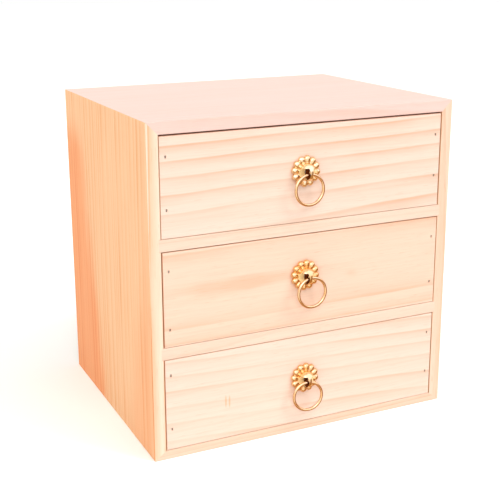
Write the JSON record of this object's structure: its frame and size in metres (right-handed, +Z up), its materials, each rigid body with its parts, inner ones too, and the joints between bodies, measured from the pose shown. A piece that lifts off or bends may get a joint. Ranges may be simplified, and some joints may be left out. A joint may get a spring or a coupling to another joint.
{
  "type": "desktop mini drawers",
  "caption": "Small pine desktop cabinet with mitred corners and stacked plain drawers, each drawn by a gilt rosette with a hanging ring.",
  "frame": {"origin": "centre of the cabinet's underside", "axes": "+Z up; the drawers face -Y and are drawn along -Y; +X to the right as seen from the front"},
  "size_m": [0.25, 0.2106, 0.25],
  "materials": {
    "pine_case": "sanded bare pine",
    "pine_front": "sanded bare pine, clear face",
    "pine_inner": "planed bare pine",
    "plywood": "thin birch-faced plywood",
    "gilt": "polished gilt",
    "steel": "plain bright steel"
  },
  "bodies": {
    "cabinet": {"left_side": "pine_case", "right_side": "pine_case", "top_board": "pine_case", "bottom_board": "pine_case", "lower_shelf": "pine_case", "upper_shelf": "pine_case", "back_panel": "plywood", "panel_pins": "steel"},
    "lower_drawer": {"lower_front": "pine_front", "lower_left_wall": "pine_inner", "lower_right_wall": "pine_inner", "lower_back_wall": "pine_inner", "lower_floor": "plywood", "lower_front_brads": "steel", "lower_back_brads": "steel", "lower_rosette": "gilt", "lower_screw": "steel"},
    "lower_ring_pull": {"lower_ring": "gilt"},
    "middle_drawer": {"middle_front": "pine_front", "middle_left_wall": "pine_inner", "middle_right_wall": "pine_inner", "middle_back_wall": "pine_inner", "middle_floor": "plywood", "middle_front_brads": "steel", "middle_back_brads": "steel", "middle_rosette": "gilt", "middle_screw": "steel"},
    "middle_ring_pull": {"middle_ring": "gilt"},
    "upper_drawer": {"upper_front": "pine_front", "upper_left_wall": "pine_inner", "upper_right_wall": "pine_inner", "upper_back_wall": "pine_inner", "upper_floor": "plywood", "upper_front_brads": "steel", "upper_back_brads": "steel", "upper_rosette": "gilt", "upper_screw": "steel"},
    "upper_ring_pull": {"upper_ring": "gilt"}
  },
  "joints": [
    {"name": "lower_drawer_slide", "type": "slide", "parent": "cabinet", "child": "lower_drawer", "axis": [0, -1, 0], "range_m": [0, 0.15]},
    {"name": "lower_ring_swing", "type": "hinge", "parent": "lower_drawer", "child": "lower_ring_pull", "pos_m": [-0.002, -0.1073, 0.0426], "axis": [-1, 0, 0], "range_deg": [-13, 193]},
    {"name": "middle_drawer_slide", "type": "slide", "parent": "cabinet", "child": "middle_drawer", "axis": [0, -1, 0], "range_m": [0, 0.15]},
    {"name": "middle_ring_swing", "type": "hinge", "parent": "middle_drawer", "child": "middle_ring_pull", "pos_m": [-0.0027, -0.1073, 0.12545], "axis": [-1, 0, 0], "range_deg": [-15, 194]},
    {"name": "upper_drawer_slide", "type": "slide", "parent": "cabinet", "child": "upper_drawer", "axis": [0, -1, 0], "range_m": [0, 0.15]},
    {"name": "upper_ring_swing", "type": "hinge", "parent": "upper_drawer", "child": "upper_ring_pull", "pos_m": [-0.0031, -0.1073, 0.20455], "axis": [-1, 0, 0], "range_deg": [-15, 195]}
  ]
}
